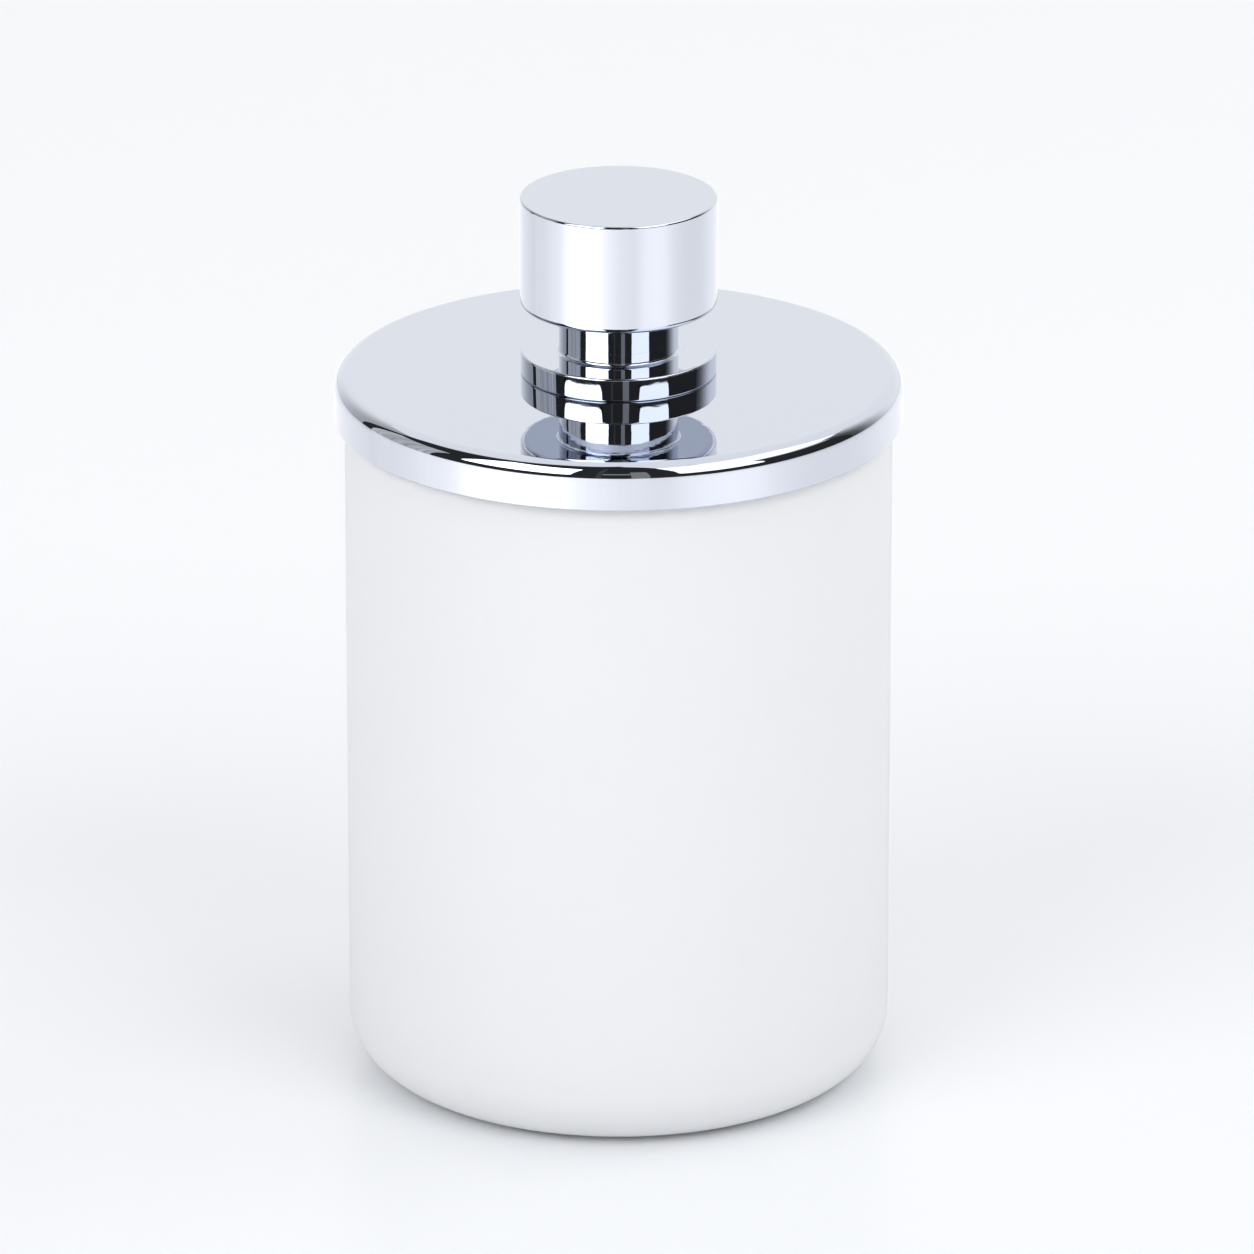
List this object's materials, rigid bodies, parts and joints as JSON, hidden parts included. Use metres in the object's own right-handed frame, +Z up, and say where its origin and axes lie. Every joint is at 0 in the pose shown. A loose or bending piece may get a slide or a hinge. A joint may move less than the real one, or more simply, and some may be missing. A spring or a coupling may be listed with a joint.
{
  "type": "lidded glass jar",
  "caption": "Straight frosted glass jar with a thick rounded base and a loose chromed lid, lifted by a cylindrical two-disc knob.",
  "frame": {"origin": "centre of the jar's foot, on the surface it stands on", "axes": "+Z up along the axis of the jar, lid and knob; the part is round about it, so +X and +Y are any two level directions"},
  "size_m": [0.08, 0.08, 0.1289],
  "materials": {
    "frosted_glass": "acid-etched matt outside, fire-polished rim",
    "chrome": "mirror-polished chrome plate",
    "liner_plastic": "natural translucent moulding",
    "silicone": "satin translucent silicone",
    "washer_plastic": "natural plastic",
    "steel": "bright zinc-plated steel"
  },
  "bodies": {
    "jar": {"glass_jar": "frosted_glass"},
    "seal": {"rim_gasket": "silicone"},
    "lid": {"lid_cover": "chrome", "lid_liner": "liner_plastic", "knob_head": "chrome", "knob_neck": "chrome", "knob_rosette": "chrome", "rosette_washer": "washer_plastic", "knob_screw": "steel", "flat_washer": "steel", "lock_washer": "steel"}
  },
  "joints": [
    {"name": "lid_lift", "type": "slide", "parent": "jar", "child": "seal", "axis": [0, 0, 1], "range_m": [0, 0.06]},
    {"name": "lid_turn", "type": "hinge", "parent": "seal", "child": "lid", "pos_m": [0, 0, 0.1032], "axis": [0, 0, 1], "continuous": true}
  ]
}
